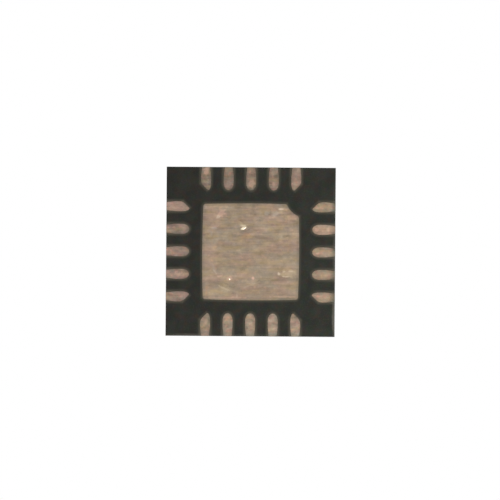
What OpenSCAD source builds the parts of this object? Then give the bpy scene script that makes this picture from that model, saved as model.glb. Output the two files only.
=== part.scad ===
// Flat no-lead integrated circuit package: a moulded square with five lands on each side
// and an exposed pad. The seating plane is z = 0, the marked face looks up, and the pin 1
// corner lies towards -X and +Y. Sizes are in millimetres.

/* [Moulding] */
// Side of the square moulding, from one sawn edge to the other
body_size = 3; // [2.7:0.05:4]
// Height from the seating plane to the marked face
body_height = 0.75; // [0.66:0.01:1]
// How far the lands and the exposed pad stand proud of the moulding
standoff = 0.02; // [0.005:0.005:0.05]
// Diameter of the pin 1 dimple in the marked face
dimple_dia = 0.3; // [0.2:0.01:0.5]
// Depth of the pin 1 dimple
dimple_depth = 0.02; // [0.01:0.005:0.04]
// Distance from the dimple's centre to each of the two nearest sawn edges
dimple_inset = 0.42; // [0.35:0.01:0.8]

/* [Lead frame] */
// Thickness of the etched copper sheet
frame_thick = 0.2; // [0.16:0.01:0.25]
// Height etched away from below under shoulders, rim and tie bars
etch_depth = 0.1; // [0.06:0.01:0.13]

/* [Leads] */
// Distance from one lead's centre line to the next
lead_pitch = 0.4; // [0.34:0.01:0.44]
// Width of each land where it is widest
land_width = 0.18; // [0.14:0.01:0.21]
// Width of each land where it is sawn off
land_neck = 0.145; // [0.12:0.005:0.18]
// Length over which a land widens from the sawn edge
neck_length = 0.17; // [0.1:0.01:0.2]
// Length of each land, from the sawn edge inwards
land_length = 0.41; // [0.34:0.01:0.45]
// Length of the half oval that closes a land's inner end
land_oval = 0.13; // [0.09:0.01:0.15]
// Corner taken off each end land, on the side of the package's corner
land_chamfer = 0.12; // [0.08:0.005:0.13]
// Radius of the blunt corner between that chamfer and the land's side
land_round = 0.15; // [0.05:0.01:0.2]
// How far a lead's half-etched shoulder reaches past its land on either side
shoulder_side = 0.025; // [0.01:0.005:0.04]
// How far the shoulder reaches past the land's inner end
shoulder_nose = 0.05; // [0.02:0.01:0.08]
// Length at the sawn edge that has no shoulder
shoulder_start = 0.1; // [0.05:0.01:0.15]

/* [Exposed pad] */
// Gap between the inner ends of the lands and the middle of the exposed pad's edges
pad_gap = 0.23; // [0.2:0.005:0.35]
// How far each edge of the pad bows out between its corners, as etching leaves it
pad_bow = 0.015; // [0.005:0.005:0.03]
// Radius of the exposed pad's three plain corners
pad_round = 0.05; // [0.02:0.005:0.1]
// Length that the pin 1 notch takes from each edge at the fourth corner
notch_reach = 0.21; // [0.15:0.01:0.4]
// Depth of the notch's hollow below the straight line between its ends
notch_hollow = 0.035; // [0.02:0.005:0.06]
// Radius of the two points where the notch meets the pad's edges
notch_round = 0.06; // [0.01:0.005:0.07]
// How far the half-etched rim of the paddle reaches past the exposed pad
rim_width = 0.08; // [0.04:0.01:0.1]
// Width of the four tie bars that run out to the package's corners
tie_width = 0.15; // [0.1:0.01:0.18]

/* [Die] */
// Side of the square die
die_size = 1.25; // [1:0.05:1.5]
// Height of the die
die_height = 0.2; // [0.12:0.01:0.25]
// Height of the adhesive under the die
attach_height = 0.02; // [0.01:0.005:0.04]
// How far the adhesive is squeezed out past the die
attach_margin = 0.03; // [0.01:0.005:0.06]
// Side of each square bond pad opening in the die's top
bond_pad_size = 0.075; // [0.065:0.005:0.1]
// Depth of a bond pad opening
bond_pad_depth = 0.004; // [0.002:0.001:0.006]
// Distance from a bond pad's centre to the die's edge
bond_pad_inset = 0.08; // [0.06:0.005:0.12]
// Distance from the outermost bond pads' centres to the die's corners, along the row
bond_pad_margin = 0.225; // [0.18:0.005:0.3]

/* [Bond wires] */
// Diameter of the wire
wire_dia = 0.025; // [0.018:0.001:0.03]
// Diameter of the pressed ball on the die
ball_dia = 0.055; // [0.04:0.005:0.06]
// Height of the pressed ball
ball_height = 0.014; // [0.01:0.001:0.02]
// Height of the loop above the top of the die
loop_height = 0.14; // [0.12:0.01:0.17]
// Radius of the bend at the top of the loop, along the wire's centre line
loop_bend = 0.07; // [0.04:0.005:0.08]
// Length of the flattened stitch on the lead
stitch_length = 0.07; // [0.04:0.01:0.09]
// Distance from the tip of a lead's shoulder to the start of the stitch
stitch_setback = 0.09; // [0.06:0.01:0.13]

/* [Hidden] */
leads_per_side = 5;
sides = 4;
lead_count = leads_per_side * sides;

half_body = body_size / 2;
pad_size = body_size - 2 * (land_length + pad_gap);
pad_corner = pad_size / 2 - pad_bow;
paddle_size = pad_size + 2 * rim_width;
shoulder_root = [[shoulder_start, land_width / 2 + shoulder_side]];
shoulder_length = land_length + shoulder_nose;
shoulder_oval = land_oval + shoulder_nose;
// the shoulder of an end lead runs parallel to the land's chamfer, shoulder_side away from it
shoulder_chamfer = land_chamfer + shoulder_nose + shoulder_side * (1 - sqrt(2));
shoulder_round = land_round + shoulder_side;

attach_z = frame_thick;
die_z = attach_z + attach_height;
die_top = die_z + die_height;
ball_z = die_top - bond_pad_depth;

// the bond pads spread evenly along the die
bond_pad_pitch = (die_size - 2 * bond_pad_margin) / (leads_per_side - 1);

// lead tips and bond pads as distances from the package's centre
lead_tip = half_body - shoulder_length;
bond_row = die_size / 2 - bond_pad_inset;
stitch_row = lead_tip + stitch_setback;

// how far the cavities in the moulding run past its sawn edges
saw_overrun = 0.05;
// degrees of arc per segment, and numbers of segments, rings and sides
arc_step = 15;
notch_steps = 6;
edge_steps = 8;
wire_sides = 8;
bend_steps = 6;

lead_nodes = [for (i = [1 : lead_count]) numbered("lead", i)];
wire_nodes = [for (i = [1 : lead_count]) numbered("bond_wire", i)];

mould_colour = [0.19, 0.19, 0.17];
plating_colour = [0.65, 0.56, 0.48];
silicon_colour = [0.33, 0.35, 0.4];
adhesive_colour = [0.75, 0.74, 0.7];
wire_colour = [0.85, 0.66, 0.35];

// A name such as lead_07
function numbered(name, i) = str(name, "_", i < 10 ? "0" : "", i);

// Leads count anticlockwise from the pin 1 corner, seen from above: side 0 faces -X
function lead_side(i) = floor((i - 1) / leads_per_side);
function lead_slot(i) = (i - 1) % leads_per_side - (leads_per_side - 1) / 2;
function is_end_lead(i) = abs(lead_slot(i)) == (leads_per_side - 1) / 2;

function unit(v) = v / norm(v);
function flat(p) = [p[0], p[1]];

// Points of the arc that replaces corner b, given as [x, y, radius], between a and c
function corner_arc(a, b, c) =
    let (
        u = unit(flat(a) - flat(b)),
        v = unit(flat(c) - flat(b)),
        half_angle = acos(u * v) / 2,
        radius = b[2],
        centre = flat(b) + unit(u + v) * radius / sin(half_angle),
        from = flat(b) + u * radius / tan(half_angle) - centre,
        to = flat(b) + v * radius / tan(half_angle) - centre,
        start = atan2(from[1], from[0]),
        turn = atan2(from[0] * to[1] - from[1] * to[0], from * to),
        steps = ceil(abs(turn) / arc_step)
    )
    radius == 0
        ? [flat(b)]
        : [for (k = [0 : steps])
            let (angle = start + turn * k / steps)
            centre + radius * [cos(angle), sin(angle)]];

// Outline through points given as [x, y, radius of that corner]
function rounded(points) =
    let (n = len(points))
    [for (i = [0 : n - 1]) each corner_arc(points[(i + n - 1) % n], points[i], points[(i + 1) % n])];

// Points on an oval, given by its centre and half sizes, from angle -90 to another angle
function oval_arc(centre, half_length, half_width, to) =
    let (steps = ceil((to + 90) / arc_step))
    [for (k = [0 : steps])
        let (angle = -90 + (to + 90) * k / steps)
        centre + [half_length * cos(angle), half_width * sin(angle)]];

// The inner end of an end lead, from its -Y side to its +Y side. A chamfer takes the +Y
// corner off at 45 degrees and meets the side in a blunt corner, which is as round as the
// straight stretches beside it allow. A narrow oval touches the -Y side, the tip and the
// chamfer; root is the point at which the straight +Y side starts.
function chamfered_end(root, tip, oval, chamfer, round) =
    let (
        half_width = root[1],
        left = 2 * half_width - chamfer,
        oval_width = left * (left + 2 * oval) / (2 * (left + oval)),
        centre = [tip - oval, oval_width - half_width],
        nose = oval_arc(centre, oval, oval_width, atan2(oval_width, oval)),
        last = nose[len(nose) - 1],
        corner = [tip - chamfer, half_width],
        straight = min(norm(last - corner), norm(corner - root)),
        radius = min(round, straight / tan(45 / 2))
    )
    concat(nose, corner_arc(last, [corner[0], corner[1], radius], root));

// Land or shoulder seen from above. Its root is given as points [distance from the sawn
// edge, half width], from the outermost point inwards. A chamfer of 0 leaves half an oval.
function tongue(root, tip, oval, chamfer, round) =
    let (
        n = len(root),
        side = root[n - 1],
        end = chamfer == 0
            ? oval_arc([tip - oval, 0], oval, side[1], 90)
            : chamfered_end(side, tip, oval, chamfer, round)
    )
    concat([for (p = root) [p[0], -p[1]]], end, [for (k = [n - 1 : -1 : 0]) root[k]]);

// The pad's outline is made of stretches of points [x, y, radius of that corner], and each
// stretch leaves out its last point, with which the next begins. This is the height of the
// pad's bowed top edge at x.
function edge_height(x) = pad_corner + pad_bow * (1 - pow(x / pad_corner, 2));

// Stretch of the top edge from one x to another, with a corner of some radius at its start
function bowed_edge(from, to, radius) =
    [for (k = [0 : edge_steps - 1])
        let (x = from + (to - from) * k / edge_steps)
        [x, edge_height(x), k == 0 ? radius : 0]];

// Rounding of the points where the notch starts and ends: at most what fits on its chords
function notch_end_round(radius, half_angle) =
    min(notch_round, 2 * radius * sin(half_angle / notch_steps) / tan((45 + half_angle) / 2));

// Hollow arc across the pad's corner, from the top edge at x = from to the right edge
function notch_arc(from) =
    let (
        half_chord = (edge_height(from) - from) / sqrt(2),
        radius = (pow(half_chord, 2) + pow(notch_hollow, 2)) / (2 * notch_hollow),
        half_angle = asin(half_chord / radius),
        middle = (edge_height(from) + from) / 2 + (radius - notch_hollow) / sqrt(2),
        round = notch_end_round(radius, half_angle)
    )
    [for (k = [0 : notch_steps])
        let (angle = 225 - half_angle + 2 * half_angle * k / notch_steps)
        [
            middle + radius * cos(angle),
            middle + radius * sin(angle),
            k == 0 || k == notch_steps ? round : 0
        ]];

module on_side(side) {
    rotate([0, 0, 90 * side])
        translate([-half_body, 0, 0])
            children();
}

// One lead in its side's frame: the sawn end is at x = 0 and the inner end towards +X.
// The moulding's cavity for it runs past the sawn edge, so that it opens there.
module lead_shape(i, past) {
    overrun = past > 0 ? [[-past, land_neck / 2]] : [];
    neck = [[0, land_neck / 2], [neck_length, land_width / 2]];
    linear_extrude(frame_thick)
        lead_outline(i, concat(overrun, neck), land_length, land_oval, land_chamfer, land_round);
    translate([0, 0, etch_depth])
        linear_extrude(frame_thick - etch_depth)
            lead_outline(
                i, shoulder_root, shoulder_length, shoulder_oval, shoulder_chamfer, shoulder_round
            );
}

// Only the end leads are chamfered, on the side of the nearest corner
module lead_outline(i, root, tip, oval, chamfer, round) {
    if (!is_end_lead(i)) polygon(tongue(root, tip, oval, 0, 0));
    else if (lead_slot(i) < 0) polygon(tongue(root, tip, oval, chamfer, round));
    else mirror([0, 1]) polygon(tongue(root, tip, oval, chamfer, round));
}

module lead(i, past = 0) {
    color(plating_colour)
        on_side(lead_side(i))
            translate([0, -lead_slot(i) * lead_pitch, 0])
                lead_shape(i, past);
}

// The tie bar to the +X, +Y corner seen from above, sawn off flush with both edges
module tie_bar_outline(past) {
    root = pad_size / 2;
    tip = half_body + past;
    spread = tie_width / sqrt(2);
    polygon([
        [tip, tip],
        [tip - spread, tip],
        [root - spread, root],
        [root, root - spread],
        [tip, tip - spread]
    ]);
}

// Exposed pad seen from above, with the pin 1 notch at its -X, +Y corner. It is drawn
// clockwise with the notch at +X, +Y, from its top left corner, and then mirrored.
module pad_outline() {
    c = pad_corner;
    from = c - notch_reach;
    notch = notch_arc(from);
    mirror([1, 0])
        polygon(rounded(concat(
            bowed_edge(-c, from, pad_round),
            [for (k = [0 : notch_steps - 1]) notch[k]],
            [for (p = bowed_edge(from, -c, notch[notch_steps][2])) [p[1], p[0], p[2]]],
            [for (p = bowed_edge(c, -c, pad_round)) [p[0], -p[1], p[2]]],
            [for (p = bowed_edge(-c, c, pad_round)) [-p[1], p[0], p[2]]]
        )));
}

module die_paddle(past = 0) {
    color(plating_colour) {
        linear_extrude(frame_thick)
            pad_outline();
        translate([0, 0, etch_depth]) {
            linear_extrude(frame_thick - etch_depth)
                square(paddle_size, center = true);
            for (corner = [0 : sides - 1])
                rotate([0, 0, 90 * corner])
                    linear_extrude(frame_thick - etch_depth)
                        tie_bar_outline(past);
        }
    }
}

module die_attach() {
    s = die_size / 2 + attach_margin;
    r = attach_margin;
    color(adhesive_colour)
        translate([0, 0, attach_z])
            linear_extrude(attach_height)
                polygon(rounded([[-s, -s, r], [s, -s, r], [s, s, r], [-s, s, r]]));
}

module die() {
    color(silicon_colour)
        difference() {
            translate([-die_size / 2, -die_size / 2, die_z])
                cube([die_size, die_size, die_height]);
            for (i = [1 : lead_count])
                rotate([0, 0, 90 * lead_side(i)])
                    translate([-bond_row, -lead_slot(i) * bond_pad_pitch, ball_z])
                        translate([-bond_pad_size / 2, -bond_pad_size / 2, 0])
                            cube([bond_pad_size, bond_pad_size, 2 * bond_pad_depth]);
        }
}

// Section of a wire: its place and direction as [distance along, height] in the wire's
// upright plane, its half width and its half height
function section(place, direction, half_width, half_height) = [place, direction, half_width, half_height];

// A flattened section that rests on the lead
function resting(reach, half_width, half_height) =
    section([reach, frame_thick + half_height * cos(180 / wire_sides)], [1, 0], half_width, half_height);

// The sections from the ball over the loop to the stitch, span away. The wire rises
// straight, turns on an arc and then runs straight down to the lead, at a tangent to the arc.
function wire_sections(span) =
    let (
        up = [0, 1],
        r = wire_dia / 2,
        ball = ball_dia / 2,
        centre = [loop_bend, die_top + loop_height - r - loop_bend],
        to_lead = [span, frame_thick + r] - centre,
        descent = atan2(to_lead[1], to_lead[0]) - asin(loop_bend / norm(to_lead))
    )
    concat(
        [
            section([0, ball_z], up, 0.8 * ball, 0.8 * ball),
            section([0, ball_z + 0.4 * ball_height], up, ball, ball),
            section([0, ball_z + ball_height], up, 0.75 * ball, 0.75 * ball),
            section([0, ball_z + 1.5 * ball_height], up, r, r)
        ],
        [for (k = [0 : bend_steps])
            let (heading = 90 + (descent - 90) * k / bend_steps)
            section(centre + loop_bend * [-sin(heading), cos(heading)], [cos(heading), sin(heading)], r, r)],
        [
            resting(span, r, r),
            resting(span + 0.4 * stitch_length, 1.3 * r, 0.6 * r),
            resting(span + stitch_length, 1.6 * r, 0.25 * r)
        ]
    );

// Ring of points round one section, for a wire that leaves the point start towards heading
function ring(section, start, heading) =
    let (
        place = section[0],
        direction = section[1],
        half_width = section[2],
        half_height = section[3],
        along = [heading[0], heading[1], 0],
        across = [-heading[1], heading[0], 0],
        up = [0, 0, 1],
        centre = [start[0], start[1], 0] + place[0] * along + place[1] * up,
        normal = direction[0] * up - direction[1] * along
    )
    [for (k = [0 : wire_sides - 1])
        let (angle = 360 * (k + 0.5) / wire_sides)
        centre + half_width * cos(angle) * across + half_height * sin(angle) * normal];

module swept(rings) {
    n = wire_sides;
    last = (len(rings) - 1) * n;
    walls = [
        for (i = [0 : len(rings) - 2])
            for (k = [0 : n - 1])
                let (a = i * n + k, b = i * n + (k + 1) % n)
                each [[a, a + n, b + n], [a, b + n, b]]
    ];
    ends = [[for (k = [0 : n - 1]) k], [for (k = [n - 1 : -1 : 0]) last + k]];
    polyhedron([for (r = rings) each r], concat(walls, ends));
}

module bond_wire(i) {
    slot = lead_slot(i);
    start = [-bond_row, -slot * bond_pad_pitch];
    stitch = [-stitch_row, -slot * lead_pitch];
    heading = unit(stitch - start);
    color(wire_colour)
        rotate([0, 0, 90 * lead_side(i)])
            swept([for (s = wire_sections(norm(stitch - start))) ring(s, start, heading)]);
}

// The moulding fills everything round the lead frame, the die and the wires
module mould_body() {
    color(mould_colour)
        difference() {
            translate([0, 0, standoff])
                linear_extrude(body_height - standoff)
                    square(body_size, center = true);
            translate([dimple_inset - half_body, half_body - dimple_inset, body_height - dimple_depth])
                cylinder(d = dimple_dia, h = 2 * dimple_depth, $fn = 48);
            die_paddle(saw_overrun);
            die_attach();
            die();
            for (i = [1 : lead_count]) {
                lead(i, saw_overrun);
                bond_wire(i);
            }
        }
}

mould_body();
die_paddle();
die_attach();
die();
for (i = [1 : lead_count]) {
    lead(i);
    bond_wire(i);
}
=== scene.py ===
"""Looks of the flat no-lead package: camera, stage, light, finishes and fine surface detail."""

import math

import bmesh
import bpy
from mathutils import Matrix, Vector, noise


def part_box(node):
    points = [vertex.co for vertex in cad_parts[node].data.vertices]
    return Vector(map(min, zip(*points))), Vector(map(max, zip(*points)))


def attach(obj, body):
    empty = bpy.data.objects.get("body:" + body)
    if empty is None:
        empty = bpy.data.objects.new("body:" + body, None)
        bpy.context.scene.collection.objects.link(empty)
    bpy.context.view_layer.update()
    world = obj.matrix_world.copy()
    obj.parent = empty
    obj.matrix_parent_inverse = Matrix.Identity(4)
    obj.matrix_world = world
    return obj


MM = 0.001
MICRON = 1e-6

# The photograph: 500 pixels square, taken from straight below the package
PHOTO_SIDE = 500
PIXELS_PER_MM = 56.4
# pixel where the pattern of lands is centred, and its turn clockwise in the picture
PATTERN_CENTRE = (250.65, 251.8)
PATTERN_TURN = math.radians(0.9)
# The picture is cropped square to its own frame, so the camera takes half of that turn
CAMERA_TURN = PATTERN_TURN / 2
LENS = 100
SENSOR = 36
CLIP = (0.001, 1)

# Sizes that the frame doesn't give, in millimetres
DIMPLE_RADIUS = 0.15
DIMPLE_INSET = 0.42
STANDOFF = 0.02
PLATING = 0.006
# how near to the body's sides the copper counts as sawn
SAWN_DEPTH = 0.001
LEAD_COUNT = 20
# the outline of the exposed pad and of the lands on the underside
PAD_HALF = 0.86
PAD_BOW = 0.015
PAD_ROUND = 0.05
NOTCH_REACH = 0.21
NOTCH_HOLLOW = 0.035
LAND_PITCH = 0.4
LAND_HALF_WIDTH = 0.09
LAND_OVAL = 0.13
LAND_CHAMFER = 0.12
LAND_TIP = 1.09

# Fine detail and stage, in metres
EDGE_SOFTENING = 4 * MICRON
NICK_HEIGHT = 2.5 * MICRON
FLOOR_HALF_SIDE = 0.25
FLOOR_FADE = (0.006, 0.05)
FLOOR_DEPTH = 2 * MICRON
# the opening under the package, as a share of the body's half side
FLOOR_HOLE = 0.9995
AMBIENT = 0.5

# The middle of Blender's noise, and the shares of a mark's half sizes where it starts to fade
# and where it ends
NOISE_MIDDLE = 0.5
MARK_FADE = (0.4, 1.15)


# Picture and package

def picture_axes(turn=PATTERN_TURN):
    """The picture's right and up directions in the part's frame; it is seen from below."""
    right = Vector((-math.cos(turn), math.sin(turn), 0))
    up = Vector((math.sin(turn), math.cos(turn), 0))
    return right, up


def at_pixel(across, down, height=0.0, turn=PATTERN_TURN):
    """The point in the part's frame, in metres, that lies at a pixel of the photograph."""
    right, up = picture_axes(turn)
    metres = MM / PIXELS_PER_MM
    to_right = right * (across - PATTERN_CENTRE[0]) * metres
    place = to_right + up * (PATTERN_CENTRE[1] - down) * metres
    return Vector((place.x, place.y, height))


def make_camera():
    """Looks straight up at the lands, turned and shifted as the photograph is."""
    right, up = picture_axes(CAMERA_TURN)
    middle = PHOTO_SIDE / 2
    distance = PHOTO_SIDE / PIXELS_PER_MM * MM * LENS / SENSOR
    place = at_pixel(middle, middle, -distance, CAMERA_TURN)
    data = bpy.data.cameras.new("camera")
    data.lens = LENS
    data.sensor_width = SENSOR
    data.clip_start, data.clip_end = CLIP
    camera = bpy.data.objects.new("camera", data)
    turned = Matrix((right, up, right.cross(up))).transposed()
    camera.matrix_world = Matrix.Translation(place) @ turned.to_4x4()
    bpy.context.scene.collection.objects.link(camera)
    bpy.context.scene.camera = camera


# Node helpers

def feed(tree, socket, value):
    """Links a socket to an input, or sets the input to a plain value."""
    if isinstance(value, bpy.types.NodeSocket):
        tree.links.new(value, socket)
    else:
        socket.default_value = value


def node(tree, kind, inputs=None, **settings):
    """Adds a node. Its inputs are given by name or number, as sockets or plain values."""
    made = tree.nodes.new(kind)
    for key, value in settings.items():
        setattr(made, key, value)
    for key, value in (inputs or {}).items():
        feed(tree, made.inputs[key], value)
    return made


def maths(tree, operation, *values):
    """A Math node's result."""
    return node(tree, "ShaderNodeMath", dict(enumerate(values)), operation=operation).outputs[0]


def vector_maths(tree, operation, *values):
    """A Vector Math node's vector result."""
    inputs = dict(enumerate(values))
    return node(tree, "ShaderNodeVectorMath", inputs, operation=operation).outputs[0]


def blend(tree, factor, first, second, kind="MIX"):
    """Mixes two colours."""
    # of the node's sockets for every type of value, 6 and 7 take the colours and 2 gives one
    inputs = {0: factor, 6: first, 7: second}
    made = node(tree, "ShaderNodeMix", inputs, data_type="RGBA", blend_type=kind)
    return made.outputs[2]


def ramp(tree, value, low, high, start=0.0, end=1.0, kind="SMOOTHSTEP"):
    """Maps low to high onto start to end, and holds beyond them."""
    inputs = {0: value, 1: low, 2: high, 3: start, 4: end}
    return node(tree, "ShaderNodeMapRange", inputs, interpolation_type=kind).outputs[0]


def grain(tree, place, per_mm, shift=None, stretch=(1, 1, 1), detail=2.0, roughness=0.5, **more):
    """Noise from 0 to 1 with a number of cells per millimetre, shifted in millimetres so that
    it differs from other noise, and stretched along the axes."""
    if shift:
        place = vector_maths(tree, "ADD", place, shift)
    scaled = vector_maths(tree, "MULTIPLY", place, stretch)
    inputs = {"Vector": scaled, "Scale": per_mm, "Detail": detail, "Roughness": roughness}
    return node(tree, "ShaderNodeTexNoise", {**inputs, **more}).outputs[0]


def srgb(red, green, blue):
    """A colour read off the photograph, 0 to 255 a channel, as the linear colour of a node."""
    def linear(channel):
        share = channel / 255
        return share / 12.92 if share <= 0.04045 else ((share + 0.055) / 1.055) ** 2.4
    return (linear(red), linear(green), linear(blue), 1)


def new_material(name):
    """An empty material with its tree, its Principled shader and the place in millimetres."""
    material = bpy.data.materials.new(name)
    material.use_nodes = True
    tree = material.node_tree
    tree.nodes.clear()
    shader = tree.nodes.new("ShaderNodeBsdfPrincipled")
    output = tree.nodes.new("ShaderNodeOutputMaterial")
    tree.links.new(shader.outputs[0], output.inputs[0])
    coordinates = node(tree, "ShaderNodeTexCoord")
    place = vector_maths(tree, "MULTIPLY", coordinates.outputs["Object"], (1 / MM, 1 / MM, 1 / MM))
    return material, tree, shader, place


def connect(tree, shader, **inputs):
    """Sets the shader's inputs, with spaces in their names written as underscores."""
    for key, value in inputs.items():
        feed(tree, shader.inputs[key.replace("_", " ")], value)


def bump(tree, height, distance, strength=1.0):
    """A Bump node's normal; distance is in metres."""
    inputs = {"Height": height, "Distance": distance, "Strength": strength}
    return node(tree, "ShaderNodeBump", inputs).outputs[0]


def tinted(tree, mask, colour, tint):
    """Multiplies a colour by a tint where the mask is 1."""
    return blend(tree, mask, colour, (*tint, 1), "MULTIPLY")


def two_toned(tree, noise_value, colour, high, low, strength=1.0):
    """Tints a colour one way where a noise is high and another way where it is low. Each way is
    given by the noise at which it is full, and its tint."""
    for full, tint in (high, low):
        mask = ramp(tree, noise_value, NOISE_MIDDLE, full, 0, strength)
        colour = tinted(tree, mask, colour, tint)
    return colour


def upright(tree):
    """1 on upright faces and 0 on level ones."""
    normal = node(tree, "ShaderNodeNewGeometry").outputs["True Normal"]
    parts = node(tree, "ShaderNodeSeparateXYZ", {0: normal})
    return ramp(tree, maths(tree, "ABSOLUTE", parts.outputs["Z"]), 0.2, 0.5, 1, 0)


def length(tree, vector):
    """A vector's length."""
    made = node(tree, "ShaderNodeVectorMath", {0: vector}, operation="LENGTH")
    return made.outputs["Value"]


def spot(tree, place, wander, centre, half_sizes, strength, angle=0.0):
    """An oval mark with a ragged soft edge, as strong as given in its middle and 0 outside it,
    at a place on the underside in millimetres. Its height doesn't count."""
    if angle:
        inputs = {"Vector": place, "Center": (*centre, 0), "Angle": angle}
        place = node(tree, "ShaderNodeVectorRotate", inputs, rotation_type="Z_AXIS").outputs[0]
    scale = (1 / half_sizes[0], 1 / half_sizes[1], 0)
    offset = (-centre[0] * scale[0], -centre[1] * scale[1], 0)
    scaled = vector_maths(tree, "MULTIPLY_ADD", place, scale, offset)
    return ramp(tree, maths(tree, "ADD", length(tree, scaled), wander), *MARK_FADE, strength, 0)


def marked(tree, place, colour, marks):
    """Lays marks over a colour. Their places are pixels of the photograph, which are turned."""
    inputs = {"Vector": place, "Angle": PATTERN_TURN}
    picture = node(tree, "ShaderNodeVectorRotate", inputs, rotation_type="Z_AXIS").outputs[0]
    wander = ramp(tree, grain(tree, place, 16, detail=3), 0.25, 0.75, -0.5, 0.5, "LINEAR")
    for pixel, half_sizes, turn, tint, strength in marks:
        centre = (at_pixel(*pixel, turn=0) / MM)[:2]
        in_mm = [half_size / PIXELS_PER_MM for half_size in half_sizes]
        mask = spot(tree, picture, wander, centre, in_mm, strength, math.radians(turn))
        colour = blend(tree, mask, colour, srgb(*TINTS[tint]))
    return colour


def past_pad(tree, x, y, outward, sideways):
    """How far a place on the underside lies past the outline of the pad, in millimetres. The
    pad has bowed sides, rounded corners, and a hollow notch across the corner of pin 1."""
    bow = maths(tree, "MULTIPLY", maths(tree, "POWER", sideways, 2), PAD_BOW / PAD_HALF**2)
    out = maths(tree, "ADD", maths(tree, "SUBTRACT", outward, PAD_HALF - PAD_ROUND), bow)
    aside = maths(tree, "SUBTRACT", sideways, PAD_HALF - PAD_BOW - PAD_ROUND)
    round_corner = node(tree, "ShaderNodeCombineXYZ", {
        0: maths(tree, "MAXIMUM", out, 0.0),
        1: maths(tree, "MAXIMUM", aside, 0.0),
    }).outputs[0]
    inside = maths(tree, "SUBTRACT", maths(tree, "MINIMUM", out, 0.0), PAD_ROUND)
    past_side = maths(tree, "ADD", length(tree, round_corner), inside)

    # the notch is hollowed out from a chord across the corner, measured along the diagonals
    start = PAD_HALF - PAD_BOW - NOTCH_REACH
    edge = PAD_HALF - PAD_BOW * (start / PAD_HALF) ** 2
    half_chord = (edge - start) / math.sqrt(2)
    chord = (edge + start) / math.sqrt(2)
    to_corner = maths(tree, "MULTIPLY", maths(tree, "SUBTRACT", y, x), 1 / math.sqrt(2))
    along = maths(tree, "MULTIPLY", maths(tree, "ADD", y, x), 1 / math.sqrt(2))
    rise = maths(tree, "POWER", maths(tree, "ABSOLUTE", along), 2)
    rise = maths(tree, "MULTIPLY", rise, NOTCH_HOLLOW / half_chord**2)
    past_notch = maths(tree, "SUBTRACT", to_corner, chord - NOTCH_HOLLOW)
    past_notch = maths(tree, "SUBTRACT", past_notch, rise)
    return maths(tree, "MAXIMUM", past_side, past_notch)


def past_lands(tree, outward, sideways):
    """How far a place on the underside lies past the outline of the nearest land, in
    millimetres. There are five lands a side, with oval tips, and the end ones are chamfered."""
    short = maths(tree, "MAXIMUM", maths(tree, "SUBTRACT", LAND_TIP + LAND_OVAL, outward), 0.0)
    beside = maths(tree, "PINGPONG", sideways, LAND_PITCH / 2)
    offset = node(tree, "ShaderNodeCombineXYZ", {0: short, 1: beside}).outputs[0]
    # an oval is a squeezed circle, so the distance from it is stretched again
    squeeze = LAND_HALF_WIDTH / LAND_OVAL
    from_axis = length(tree, vector_maths(tree, "MULTIPLY", offset, (squeeze, 1, 0)))
    slope = length(tree, vector_maths(tree, "MULTIPLY", offset, (squeeze**2, 1, 0)))
    stretch = maths(tree, "MAXIMUM", maths(tree, "DIVIDE", from_axis, slope), 1.0)
    past_oval = maths(tree, "SUBTRACT", from_axis, LAND_HALF_WIDTH)
    past_oval = maths(tree, "MULTIPLY", past_oval, stretch)

    to_chamfer = LAND_TIP - LAND_PITCH * 2 - LAND_HALF_WIDTH + LAND_CHAMFER
    past_chamfer = maths(tree, "ADD", maths(tree, "SUBTRACT", sideways, outward), to_chamfer)
    past_chamfer = maths(tree, "MULTIPLY", past_chamfer, 1 / math.sqrt(2))
    not_chamfered = maths(tree, "LESS_THAN", sideways, LAND_PITCH * 1.5)
    past_chamfer = maths(tree, "SUBTRACT", past_chamfer, not_chamfered)
    no_land = maths(tree, "GREATER_THAN", sideways, LAND_PITCH * 2.5)
    return maths(tree, "ADD", maths(tree, "MAXIMUM", past_oval, past_chamfer), no_land)


def past_outline(tree, place):
    """How far a place on the underside lies past the outline of the pad or the nearest land, in
    millimetres; below 0 on the metal."""
    parts = node(tree, "ShaderNodeSeparateXYZ", {0: place})
    x, y = parts.outputs["X"], parts.outputs["Y"]
    sides = [maths(tree, "ABSOLUTE", value) for value in (x, y)]
    outward = maths(tree, "MAXIMUM", *sides)
    sideways = maths(tree, "MINIMUM", *sides)
    pad = past_pad(tree, x, y, outward, sideways)
    return maths(tree, "MINIMUM", pad, past_lands(tree, outward, sideways))


# Finishes

# The colours of the marks, 0 to 255 a channel
TINTS = {
    "bright": (222, 208, 180),
    "pink": (206, 168, 148),
    "grey": (174, 164, 154),
    "rust": (164, 126, 96),
    # the dull tint serves for dark tarnish and specks, and also for painted shadows beside the
    # nicks
    "dull_and_shadow": (96, 88, 72),
    "straw": (190, 172, 138),
    "pale": (208, 190, 168),
}
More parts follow.
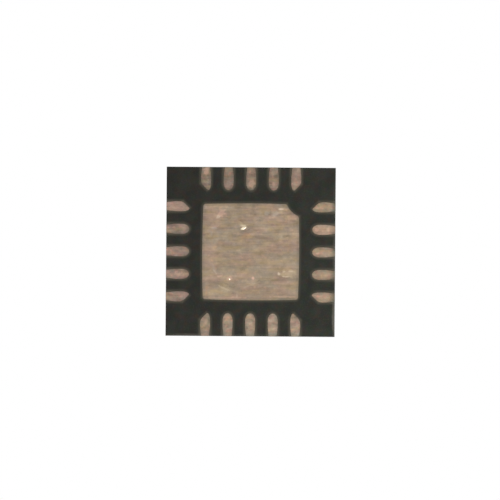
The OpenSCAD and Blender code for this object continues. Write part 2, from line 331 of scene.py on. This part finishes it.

# Wear that the photograph shows on the pad and the lands, with painted glows, a painted glint and
# painted shadows at the nicks: pixel, half sizes in pixels, turn in degrees, colour and strength
PAD_MARKS = (
    ((285.6, 209.6), (4.6, 1.1), 0, "pink", 0.3),
    ((281.2, 209.5), (3.0, 1.0), 0, "pale", 0.6),
    ((275.5, 214.0), (4.0, 3.0), 20, "grey", 0.35),
    ((221.4, 212.8), (5.0, 4.4), 30, "pink", 0.44),
    ((218.6, 216.6), (2.8, 1.8), 0, "pale", 0.4),
    ((214.5, 227.8), (4.0, 1.6), 0, "grey", 0.34),
    ((211.3, 234.0), (1.5, 3.0), 0, "grey", 0.22),
    ((245.5, 235.5), (6.0, 3.8), 8, "rust", 0.3),
    # painted highlight: a lighter glow round the first nick, in two marks
    ((241.0, 224.4), (3.6, 2.6), -30, "straw", 0.3),
    ((242.9, 225.9), (3.3, 1.5), -10, "bright", 0.38),
    # painted shadows beside the first nick
    ((249.3, 229.3), (2.4, 0.8), 35, "dull_and_shadow", 0.35),
    ((244.5, 231.4), (4.5, 0.9), 8, "dull_and_shadow", 0.3),
    ((267.2, 213.3), (3.8, 2.4), 0, "grey", 0.34),
    ((284.5, 237.0), (4.0, 1.3), 14, "dull_and_shadow", 0.3),
    ((292.0, 218.5), (5.0, 3.2), 8, "pink", 0.24),
    ((262.0, 228.2), (15.0, 0.6), 0, "pale", 0.12),
    ((278.8, 274.2), (1.6, 2.2), 35, "pale", 0.6),
    ((287.8, 274.0), (10.0, 4.4), 0, "straw", 0.36),
    ((283.6, 272.0), (2.4, 0.8), 10, "pale", 0.3),
    ((290.5, 271.6), (3.6, 0.8), 0, "pale", 0.28),
    ((285.5, 276.8), (4.4, 0.9), -4, "pale", 0.36),
    ((260.5, 282.2), (7.0, 2.2), 4, "dull_and_shadow", 0.36),
    ((248.0, 266.5), (9.5, 5.0), 0, "dull_and_shadow", 0.1),
    ((251.5, 284.8), (10.0, 1.3), 20, "pale", 0.12),
    ((236.6, 295.0), (0.8, 4.4), 0, "pale", 0.18),
    ((214.8, 271.8), (3.4, 0.9), -50, "pale", 0.16),
    ((279.5, 280.2), (9.5, 1.1), 0, "dull_and_shadow", 0.26),
    ((243.0, 269.0), (3.8, 3.0), 0, "dull_and_shadow", 0.2),
    ((219.5, 275.8), (3.0, 1.2), 0, "pink", 0.35),
    ((213.5, 267.5), (1.5, 4.6), 28, "grey", 0.18),
    ((225.0, 288.6), (8.4, 4.0), -25, "straw", 0.2),
    ((224.5, 288.4), (7.8, 1.1), -25, "pale", 0.22),
    # a painted glow round the second nick, a painted glint, and a painted shadow by the second
    # nick
    ((229.5, 278.0), (3.6, 2.8), 20, "pink", 0.45),
    ((252.7, 278.0), (1.4, 1.8), 20, "pink", 0.72),
    ((235.5, 281.5), (6.0, 1.8), -20, "dull_and_shadow", 0.14),
    ((227.0, 297.4), (23.0, 1.2), -1, "pink", 0.3),
    ((284.0, 297.0), (14.0, 1.3), -1, "pink", 0.26),
    ((206.4, 290.5), (1.3, 7.0), 0, "rust", 0.3),
)
LAND_MARKS = (
    ((208.8, 175.2), (1.4, 1.3), 0, "dull_and_shadow", 0.5),
    ((206.9, 171.4), (3.6, 4.5), 0, "pink", 0.4),
    ((229.3, 184.2), (4.0, 4.2), 0, "grey", 0.22),
    ((251.9, 183.5), (4.0, 5.0), 0, "pink", 0.3),
    ((228.3, 177.0), (1.4, 1.6), 0, "dull_and_shadow", 0.35),
    ((276.4, 176.4), (2.2, 1.9), 30, "dull_and_shadow", 0.5),
    ((274.0, 184.0), (2.0, 2.4), 0, "pink", 0.25),
    ((316.5, 208.5), (2.6, 2.0), 10, "pink", 0.35),
    ((317.0, 230.5), (2.6, 2.2), 0, "pink", 0.3),
    ((328.0, 230.5), (2.0, 2.8), 0, "bright", 0.22),
    ((177.6, 273.2), (3.4, 3.0), 0, "pink", 0.36),
    ((205.5, 321.5), (1.9, 3.6), -20, "pink", 0.3),
    ((227.5, 327.0), (2.0, 1.7), 0, "dull_and_shadow", 0.2),
    # whole lands that are a shade brighter or duller than the others
    ((178.4, 205.6), (21.0, 11.0), 0, "pink", 0.24),
    ((178.0, 228.1), (21.0, 11.0), 0, "dull_and_shadow", 0.16),
    ((204.4, 324.1), (11.0, 21.0), 0, "dull_and_shadow", 0.24),
    ((323.3, 275.5), (21.0, 11.0), 0, "dull_and_shadow", 0.22),
    ((324.0, 230.4), (21.0, 11.0), 0, "pink", 0.24),
    ((296.9, 179.5), (11.0, 21.0), 0, "pink", 0.12),
)

# Painted highlights along the -X and -Y edges of the moulding's underside, and a painted shadow
# line along its +Y edge: middle and half sizes in millimetres, shade and strength
EDGE_HIGHLIGHTS_AND_SHADOW = (
    ((-1.5, -1.17), (0.055, 0.44), (118, 114, 104), 0.75),
    ((-1.5, -0.11), (0.05, 0.66), (104, 100, 92), 0.35),
    ((-1.5, 0.95), (0.045, 0.5), (104, 100, 92), 0.2),
    ((1.08, -1.5), (0.5, 0.05), (104, 100, 90), 0.5),
    ((0.0, -1.5), (0.7, 0.045), (96, 94, 86), 0.3),
    ((0.0, 1.5), (1.7, 0.018), (24, 24, 22), 0.6),
)

# How the lands on each side of the picture differ from the pad, partly a tint of each side and
# partly painted light, darker on the +X and +Y sides and lighter on the -X and -Y sides: the axis,
# where the change starts and ends in millimetres, and the tint
SIDE_LIGHT_AND_TINTS = (
    ("Y", 0.94, 1.08, (0.8, 0.78, 0.8)),
    ("Y", -0.94, -1.08, (1.04, 1.02, 1.04)),
    ("X", 0.94, 1.08, (0.93, 0.88, 0.96)),
    ("X", -0.94, -1.08, (1.11, 1.08, 1.06)),
    # dull burrs at the sawn edges on the right and at the bottom
    ("X", -1.38, -1.5, (0.47, 0.55, 0.56)),
    ("Y", -1.36, -1.48, (0.78, 0.86, 0.9)),
)


def plating_colour(tree, place, parts, spots, streaks, on_lands):
    """Beige plating, blotched, mottled and faintly rolled, with the wear of the photograph,
    painted glows and shadows at the nicks, a painted glint, and painted shade towards the etched
    outline. The lands are more speckled than the pad, and differ from side to side, partly in
    painted light."""
    # blotches of slightly different tarnish
    rosy = grain(tree, place, 3.6, stretch=(0.6, 1.4, 1), detail=3, Distortion=0.4)
    olive = grain(tree, place, 6, shift=(7, 3, 0), stretch=(0.5, 1.5, 1), detail=3)
    colour = blend(tree, ramp(tree, rosy, 0.36, 0.64), srgb(152, 137, 117), srgb(159, 135, 116))
    colour = blend(tree, ramp(tree, olive, 0.45, 0.66, 0, 0.7), colour, srgb(158, 138, 108))
    if not on_lands:
        broad = grain(tree, place, 2.6, shift=(9, 2, 0), stretch=(0.7, 1.6, 1), detail=2)
        lighter, darker = (0.66, (1.1, 1.1, 1.1)), (0.34, (0.91, 0.91, 0.91))
        colour = two_toned(tree, broad, colour, lighter, darker)
    # dull and bright spots, and rosy specks
    specks = grain(tree, place, 17, shift=(2, 8, 0), detail=2)
    contrast = 1 if on_lands else 0.55
    lighter, darker = (0.75, (1.3, 1.31, 1.32)), (0.28, (0.76, 0.76, 0.76))
    colour = two_toned(tree, spots, colour, lighter, darker, contrast)
    colour = tinted(tree, ramp(tree, specks, 0.54, 0.72, 0, contrast), colour, (1.28, 1.14, 1.12))
    if on_lands:
        blush = grain(tree, place, 14, shift=(1, 5, 0), detail=2)
        rosier, greener = (0.66, (1.1, 0.97, 0.97)), (0.34, (0.93, 1.02, 1.0))
        colour = two_toned(tree, blush, colour, rosier, greener)

    # the upper half of the picture is the more mottled, with clearer streaks from rolling
    upper = ramp(tree, parts.outputs["Y"], -0.3, 0.3, 0.35, 1)
    straw = grain(tree, place, 9, shift=(6, 1, 0), stretch=(0.8, 1.2, 1), detail=3)
    straw_share = ramp(tree, upper, 0, 1, 0.45, 1, "LINEAR")
    yellower, bluer = (0.68, (1.02, 1.0, 0.91)), (0.32, (0.98, 1.0, 1.08))
    colour = two_toned(tree, straw, colour, yellower, bluer, straw_share)
    mottle = grain(tree, place, 6.5, shift=(4, 6, 0), stretch=(0.75, 1, 1), detail=3)
    lighter, darker = (0.7, (1.17, 1.17, 1.15)), (0.32, (0.85, 0.85, 0.86))
    colour = two_toned(tree, mottle, colour, lighter, darker, upper)
    bands = grain(tree, place, 1, stretch=(0.6, 7, 7), detail=4, roughness=0.6)
    banded = ramp(tree, bands, 0.36, 0.64, kind="LINEAR")
    colour = tinted(tree, banded, colour, (0.8, 0.81, 0.82))
    colour = tinted(tree, ramp(tree, streaks, 0.42, 0.74, 0, upper), colour, (0.88, 0.88, 0.89))

    if on_lands:
        # painted light and shade on the lands by side, with a tint of each side
        for axis, start, end, tint in SIDE_LIGHT_AND_TINTS:
            colour = tinted(tree, ramp(tree, parts.outputs[axis], start, end), colour, tint)
    colour = marked(tree, place, colour, LAND_MARKS if on_lands else PAD_MARKS)
    # painted shade: duller towards the etched outline
    painted_edge_shade = ramp(tree, past_outline(tree, place), -0.062, 0, kind="LINEAR")
    return tinted(tree, painted_edge_shade, colour, (0.72, 0.76, 0.8))


def plating_material(name, on_lands):
    """Matt plating on copper, and bare copper where it was sawn."""
    material, tree, shader, place = new_material(name)
    parts = node(tree, "ShaderNodeSeparateXYZ", {0: place})
    spots = grain(tree, place, 10, stretch=(0.8, 1.2, 1), detail=4, roughness=0.6)
    streaks = grain(tree, place, 1, stretch=(2.2, 28, 28), detail=3, roughness=0.6)
    colour = plating_colour(tree, place, parts, spots, streaks, on_lands)

    # sawn ends: bare copper, stained, with fine scores along the cut
    sides = [maths(tree, "ABSOLUTE", parts.outputs[axis]) for axis in "XY"]
    sawn_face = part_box("mould_body")[1].x / MM - SAWN_DEPTH
    at_edge = maths(tree, "GREATER_THAN", maths(tree, "MAXIMUM", *sides), sawn_face)
    sawn = maths(tree, "MULTIPLY", upright(tree), at_edge)
    scores = grain(tree, place, 1, stretch=(4, 4, 130), detail=3)
    stains = grain(tree, place, 14, detail=4, roughness=0.6)
    copper = blend(tree, ramp(tree, scores, 0.3, 0.7), srgb(132, 76, 56), srgb(206, 150, 118))
    copper = blend(tree, ramp(tree, stains, 0.48, 0.66, 0, 0.7), copper, srgb(104, 70, 56))
    # the smeared plating shows as a thin pale line along the lower edge of the cut
    above_plating = maths(tree, "GREATER_THAN", parts.outputs["Z"], PLATING)
    sawn = maths(tree, "MULTIPLY", sawn, above_plating)
    colour = blend(tree, sawn, colour, copper)

    rolled = maths(tree, "MULTIPLY", streaks, 0.6)
    height = maths(tree, "ADD", rolled, maths(tree, "MULTIPLY", spots, 0.8))
    scored = maths(tree, "MULTIPLY", maths(tree, "MULTIPLY", scores, sawn), 2)
    relief = bump(tree, maths(tree, "ADD", height, scored), 1.2 * MICRON, 0.5)
    roughness = ramp(tree, spots, 0.25, 0.75, 0.56, 0.44)
    connect(tree, shader, Base_Color=colour, Metallic=0.75, Roughness=roughness, Normal=relief)
    return material


def underside_colour(tree, place, parts, cloud, skin):
    """The moulding's dark clouded skin, a shade lighter towards one corner as painted light, with
    a lighter band beside the pad and the lands that is partly resin flash and partly painted
    reflection, and painted highlights and a painted shadow line along its edges."""
    tinge = grain(tree, place, 9, shift=(5, 9, 0), detail=3)
    straw = grain(tree, place, 12, shift=(3, 4, 0), detail=3)
    colour = blend(tree, ramp(tree, cloud, 0.3, 0.7), srgb(34, 34, 30), srgb(43, 42, 37))
    rosier, greener = (0.66, (1.26, 0.94, 0.92)), (0.34, (0.86, 1.1, 0.96))
    colour = two_toned(tree, tinge, colour, rosier, greener)
    yellower, bluer = (0.66, (1.03, 1.02, 0.82)), (0.34, (0.98, 0.99, 1.2))
    colour = two_toned(tree, straw, colour, yellower, bluer)
    colour = blend(tree, ramp(tree, skin, 0.48, 0.76, 0, 0.42), colour, srgb(66, 66, 58))
    # painted light: lighter towards one corner, the side the light falls from
    # the lower right of the picture is a shade lighter
    across = maths(tree, "MULTIPLY", parts.outputs["X"], 1.4)
    slope = maths(tree, "ADD", across, maths(tree, "MULTIPLY", parts.outputs["Y"], 0.6))
    painted_light_corner = ramp(tree, slope, 2.6, -2.6, kind="LINEAR")
    colour = tinted(tree, painted_light_corner, colour, (1.34, 1.44, 1.4))

    below = maths(tree, "LESS_THAN", parts.outputs["Z"], 2 * STANDOFF)
    # a lighter band beside the pad and the lands, partly resin flash and partly painted reflection
    flash_and_sheen = ramp(tree, past_outline(tree, place), 0, 0.06, 1, 0, "LINEAR")
    flash_and_sheen = maths(tree, "MULTIPLY", maths(tree, "POWER", flash_and_sheen, 2), below)
    colour = blend(tree, flash_and_sheen, colour, srgb(96, 91, 78))
    wander = ramp(tree, grain(tree, place, 9, detail=2), 0.25, 0.75, -0.15, 0.15, "LINEAR")
    # painted highlights along two edges and a painted shadow line along a third
    for centre, half_sizes, shade, strength in EDGE_HIGHLIGHTS_AND_SHADOW:
        mask = spot(tree, place, wander, centre, half_sizes, strength)
        colour = blend(tree, maths(tree, "MULTIPLY", mask, below), colour, srgb(*shade))
    return colour


def sawn_filler(tree, place):
    """The sawn sides' colour and relief: fine level scores, and grey filler grains of two
    sizes."""
    scores = grain(tree, place, 1, stretch=(3, 3, 95), detail=4, roughness=0.65)
    colour = blend(tree, ramp(tree, scores, 0.3, 0.7), srgb(46, 47, 44), srgb(66, 67, 63))
    grains = 0.0
    for per_mm, least in ((24, 0.82), (48, 0.55)):
        inputs = {"Vector": place, "Scale": per_mm, "Randomness": 1}
        cells = node(tree, "ShaderNodeTexVoronoi", inputs, feature="F1")
        picked = node(tree, "ShaderNodeSeparateColor", {0: cells.outputs["Color"]})
        size = ramp(tree, picked.outputs[1], 0, 1, 0.16, 0.4)
        round_grain = maths(tree, "LESS_THAN", cells.outputs["Distance"], size)
        kept = maths(tree, "GREATER_THAN", picked.outputs[0], least)
        chosen = maths(tree, "MULTIPLY", round_grain, kept)
        tone = blend(tree, picked.outputs[2], srgb(66, 68, 66), srgb(126, 126, 120))
        colour = blend(tree, maths(tree, "MULTIPLY", chosen, 0.55), colour, tone)
        grains = maths(tree, "MAXIMUM", grains, chosen)
    return colour, maths(tree, "ADD", scores, grains)


def mould_material():
    """Dark filled epoxy: fine matt skin above and below, sawn through the filler at the sides."""
    material, tree, shader, place = new_material("mould_compound")
    parts = node(tree, "ShaderNodeSeparateXYZ", {0: place})
    cloud = grain(tree, place, 4.5, detail=4)
    skin = grain(tree, place, 45, detail=3, roughness=0.6)
    pits = grain(tree, place, 26, detail=4, roughness=0.65)
    colour = underside_colour(tree, place, parts, cloud, skin)

    # the top has the even, finely pitted skin of the mould
    matt = blend(tree, ramp(tree, pits, 0.3, 0.7), srgb(38, 39, 38), srgb(54, 55, 53))
    matt = blend(tree, ramp(tree, skin, 0.52, 0.78, 0, 0.5), matt, srgb(72, 73, 70))
    matt = tinted(tree, ramp(tree, cloud, 0.35, 0.65), matt, (1.1, 1.1, 1.08))
    on_top = maths(tree, "GREATER_THAN", parts.outputs["Z"], 0.5)
    colour = blend(tree, on_top, colour, matt)
    side = upright(tree)
    cut, cut_relief = sawn_filler(tree, place)
    colour = blend(tree, side, colour, cut)

    # the pin 1 dimple keeps the polish of the pin that moulded it
    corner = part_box("mould_body")[1].x / MM - DIMPLE_INSET
    offset = vector_maths(tree, "SUBTRACT", place, (-corner, corner, 0))
    offset = vector_maths(tree, "MULTIPLY", offset, (1, 1, 0))
    polished = maths(tree, "LESS_THAN", length(tree, offset), DIMPLE_RADIUS)
    polished = maths(tree, "MULTIPLY", polished, on_top)

    pitted = maths(tree, "MULTIPLY", pits, maths(tree, "MULTIPLY", on_top, 1.5))
    height = maths(tree, "ADD", skin, pitted)
    height = maths(tree, "ADD", height, maths(tree, "MULTIPLY", side, cut_relief))
    rough = ramp(tree, skin, 0.2, 0.8, 0.52, 0.7)
    rough = maths(tree, "ADD", rough, maths(tree, "MULTIPLY", side, 0.1))
    rough = maths(tree, "SUBTRACT", rough, maths(tree, "MULTIPLY", polished, 0.22))
    relief = bump(tree, height, 1.6 * MICRON, 0.6)
    connect(tree, shader, Base_Color=colour, Roughness=rough, Normal=relief)
    connect(tree, shader, Specular_IOR_Level=0.15)
    return material


def bright_material():
    """Where the plating was pressed smooth and bright by a contact."""
    material, tree, shader, place = new_material("burnished_plating")
    fine = grain(tree, place, 60, detail=2)
    colour = blend(tree, ramp(tree, fine, 0.3, 0.7), srgb(238, 226, 202), srgb(220, 204, 176))
    roughness = ramp(tree, fine, 0.2, 0.8, 0.18, 0.34)
    connect(tree, shader, Base_Color=colour, Metallic=1.0, Roughness=roughness)
    connect(tree, shader, Normal=bump(tree, fine, 0.5 * MICRON, 0.4))
    return material


def silicon_material():
    """Dark mirror-like silicon with a faint grid of circuit blocks on its top."""
    material, tree, shader, place = new_material("silicon")
    inputs = {"Vector": place, "Scale": 7, "Randomness": 0.7}
    blocks = node(tree, "ShaderNodeTexVoronoi", inputs, distance="CHEBYCHEV")
    fine = grain(tree, place, 40, detail=2)
    colour = blend(tree, 0.35, srgb(74, 78, 92), blocks.outputs["Color"], "OVERLAY")
    colour = blend(tree, ramp(tree, fine, 0.4, 0.7, 0, 0.3), colour, srgb(120, 116, 132))
    roughness = ramp(tree, fine, 0.2, 0.8, 0.12, 0.3)
    connect(tree, shader, Base_Color=colour, Metallic=0.6, Roughness=roughness)
    return material


def adhesive_material():
    """Grey die adhesive filled with silver flakes."""
    material, tree, shader, place = new_material("adhesive")
    flakes = grain(tree, place, 70, detail=2)
    colour = blend(tree, ramp(tree, flakes, 0.45, 0.65), srgb(150, 148, 142), srgb(206, 205, 200))
    metal = ramp(tree, flakes, 0.55, 0.7, 0.0, 0.8)
    relief = bump(tree, flakes, MICRON, 0.5)
    connect(tree, shader, Base_Color=colour, Metallic=metal, Roughness=0.55, Normal=relief)
    return material


def wire_material():
    """Drawn gold-coloured wire."""
    material, tree, shader, place = new_material("bond_wire")
    drawn = grain(tree, place, 30, stretch=(1, 1, 0.2), detail=2)
    colour = blend(tree, drawn, srgb(214, 168, 84), srgb(240, 202, 128))
    roughness = ramp(tree, drawn, 0.2, 0.8, 0.18, 0.32)
    connect(tree, shader, Base_Color=colour, Metallic=1.0, Roughness=roughness)
    return material


def dress(nodes, material):
    """Gives CAD nodes a material."""
    for name in nodes:
        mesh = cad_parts[name].data
        mesh.materials.clear()
        mesh.materials.append(material)


# Stage and light

def light_path(tree, *outputs):
    """1 for the named kinds of ray, otherwise 0."""
    path = node(tree, "ShaderNodeLightPath")
    total = path.outputs[outputs[0]]
    for name in outputs[1:]:
        total = maths(tree, "MAXIMUM", total, path.outputs[name])
    return total


def make_world(ambient):
    """White where it is seen or mirrored, and an even grey light on everything else."""
    world = bpy.data.worlds.new("studio")
    bpy.context.scene.world = world
    world.use_nodes = True
    tree = world.node_tree
    tree.nodes.clear()
    seen = light_path(tree, "Is Camera Ray", "Is Glossy Ray", "Is Transmission Ray")
    strength = ramp(tree, seen, 0, 1, ambient, 1, "LINEAR")
    background = node(tree, "ShaderNodeBackground", {"Color": (1, 1, 1, 1), "Strength": strength})
    output = node(tree, "ShaderNodeOutputWorld")
    tree.links.new(background.outputs[0], output.inputs[0])


def stage_piece(name, rings, material):
    """A band of four flat sides between two square rings, given as (half side, height)."""
    mesh = bpy.data.meshes.new(name)
    build = bmesh.new()
    corners = ((-1, -1), (1, -1), (1, 1), (-1, 1))
    outer, inner = (
        [build.verts.new((x * side, y * side, z)) for x, y in corners] for side, z in rings
    )
    for k in range(len(corners)):
        following = (k + 1) % len(corners)
        build.faces.new((outer[k], outer[following], inner[following], inner[k]))
    build.to_mesh(mesh)
    build.free()
    piece = bpy.data.objects.new(name, mesh)
    bpy.context.scene.collection.objects.link(piece)
    mesh.materials.append(material)


def one_sided(name, colour, fade=None):
    """A matt stage material that isn't there when it is seen from behind. Fade gives the
    distances from the origin, in metres, between which it thins out to nothing."""
    material = bpy.data.materials.new(name)
    material.use_nodes = True
    tree = material.node_tree
    tree.nodes.clear()
    paper = node(tree, "ShaderNodeBsdfDiffuse", {"Color": colour})
    nothing = node(tree, "ShaderNodeBsdfTransparent")
    geometry = node(tree, "ShaderNodeNewGeometry")
    gone = geometry.outputs["Backfacing"]
    if fade:
        faded = ramp(tree, length(tree, geometry.outputs["Position"]), *fade)
        gone = maths(tree, "MAXIMUM", gone, faded)
    inputs = {0: gone, 1: paper.outputs[0], 2: nothing.outputs[0]}
    either = node(tree, "ShaderNodeMixShader", inputs)
    output = node(tree, "ShaderNodeOutputMaterial")
    tree.links.new(either.outputs[0], output.inputs[0])
    return material


def make_floor():
    """The pale surface that the package stands on. Seen from below it isn't there, and under
    the package it is open, so that the photograph's view and light reach the lands. A dark
    curtain behind the moulding's edge stands for the deep shadow in the gap under it."""
    level = -FLOOR_DEPTH
    hole = FLOOR_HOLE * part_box("mould_body")[1].x
    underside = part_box("die_paddle")[0].z + STANDOFF * MM
    paper = one_sided("floor", (0.86, 0.86, 0.86, 1), FLOOR_FADE)
    stage_piece("floor", ((FLOOR_HALF_SIDE, level), (hole, level)), paper)
    shadow = one_sided("gap", (0.03, 0.03, 0.03, 1))
    stage_piece("gap", ((hole, level), (hole, underside)), shadow)


def make_lamp(name, place, side, level):
    """A square soft lamp that faces the package. Level 1 lights a surface that faces it so that
    a colour renders as it is written."""
    data = bpy.data.lights.new(name, "AREA")
    data.shape = "SQUARE"
    data.size = side
    data.energy = level * math.pi**2 * place.length_squared
    lamp = bpy.data.objects.new(name, data)
    lamp.location = place
    lamp.rotation_euler = place.to_track_quat("Z", "Y").to_euler()
    bpy.context.scene.collection.objects.link(lamp)


def make_lights():
    """Soft light from below for the photograph's view, and from above for the other sides."""
    right, up = picture_axes()
    down = Vector((0, 0, -1))
    make_lamp("below_key", (right * 14 - up * 16 + down * 34) * MM, 24 * MM, 0.32)
    make_lamp("below_fill", (right * -22 + up * 14 + down * 30) * MM, 24 * MM, 0.1)
    make_lamp("above_key", Vector((-16, -24, 34)) * MM, 20 * MM, 0.45)
    make_lamp("above_fill", Vector((26, 10, 24)) * MM, 24 * MM, 0.15)
    make_world(AMBIENT)


# Fine detail

def soften_edges(nodes):
    """Rounds the edges of etched pieces a little, as etching and plating leave them."""
    for name in nodes:
        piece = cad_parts[name]
        weld = piece.modifiers.new("weld", "WELD")
        weld.merge_threshold = 0.05 * MICRON
        edge = piece.modifiers.new("etched_edge", "BEVEL")
        edge.width = EDGE_SOFTENING
        edge.segments = 2
        edge.limit_method = "ANGLE"
        edge.angle_limit = math.radians(60)


def nick_rings(build, pixel, half_sizes, turn, seed):
    """The tip of a nick and the circles of corners round it, from the inside out."""
    centre = at_pixel(*pixel)
    right, up = picture_axes()
    along = right * math.cos(math.radians(turn)) + up * math.sin(math.radians(turn))
    across = up * math.cos(math.radians(turn)) - right * math.sin(math.radians(turn))
    metres = MM / PIXELS_PER_MM
    rings, corners = 3, 16
    tip = build.verts.new(centre + Vector((0, 0, -NICK_HEIGHT)))
    circles = []
    for ring in range(1, rings + 1):
        share = ring / rings
        points = []
        for k in range(corners):
            angle = 2 * math.pi * k / corners
            x, y = math.cos(angle), math.sin(angle)
            wobble = 1 + 0.18 * noise.noise(Vector((x, y, seed)) * 1.7)
            # thinner towards the ends than an oval is
            outline = along * x * half_sizes[0] + across * y * abs(y) ** 0.5 * half_sizes[1]
            point = centre + outline * metres * share * wobble
            point.z = -NICK_HEIGHT * (1 - share**2)
            points.append(build.verts.new(point))
        circles.append(points)
    return tip, circles


def make_contact_mark(name, pixel, half_sizes, turn, material, seed):
    """A small burnished nick on the exposed pad, at a pixel of the photograph: a low lens with
    pointed ends and an uneven edge. Half sizes are in pixels and the turn in degrees."""
    build = bmesh.new()
    tip, circles = nick_rings(build, pixel, half_sizes, turn, seed)
    for k in range(len(circles[0])):
        following = (k + 1) % len(circles[0])
        build.faces.new((tip, circles[0][following], circles[0][k]))
        for inner, outer in zip(circles, circles[1:]):
            build.faces.new((inner[k], inner[following], outer[following], outer[k]))
    bmesh.ops.recalc_face_normals(build, faces=build.faces)
    mesh = bpy.data.meshes.new(name)
    build.to_mesh(mesh)
    build.free()
    mesh.polygons.foreach_set("use_smooth", [True] * len(mesh.polygons))
    mesh.materials.append(material)
    mark = bpy.data.objects.new(name, mesh)
    bpy.context.scene.collection.objects.link(mark)
    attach(mark, "root")


def numbered(name):
    """The names of the repeated nodes, such as lead_01 to lead_20."""
    return [f"{name}_{number:02d}" for number in range(1, LEAD_COUNT + 1)]


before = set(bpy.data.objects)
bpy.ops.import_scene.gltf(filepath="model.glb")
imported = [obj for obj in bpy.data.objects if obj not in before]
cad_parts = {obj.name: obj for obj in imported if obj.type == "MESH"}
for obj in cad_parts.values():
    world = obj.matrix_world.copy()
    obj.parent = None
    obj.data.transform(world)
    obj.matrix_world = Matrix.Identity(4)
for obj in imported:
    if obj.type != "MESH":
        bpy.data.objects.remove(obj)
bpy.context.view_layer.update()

bpy.context.scene.view_settings.view_transform = "Standard"
make_camera()
make_lights()
make_floor()

dress(["mould_body"], mould_material())
dress(["die_paddle"], plating_material("plated_pad", on_lands=False))
dress(numbered("lead"), plating_material("plated_lands", on_lands=True))
dress(["die_attach"], adhesive_material())
dress(["die"], silicon_material())
dress(numbered("bond_wire"), wire_material())
soften_edges(["die_paddle"] + numbered("lead"))

bright = bright_material()
make_contact_mark("contact_mark_1", (243.8, 228.1), (3.3, 1.1), 21, bright, 1)
make_contact_mark("contact_mark_2", (229.2, 278.9), (0.85, 0.75), 10, bright, 5)
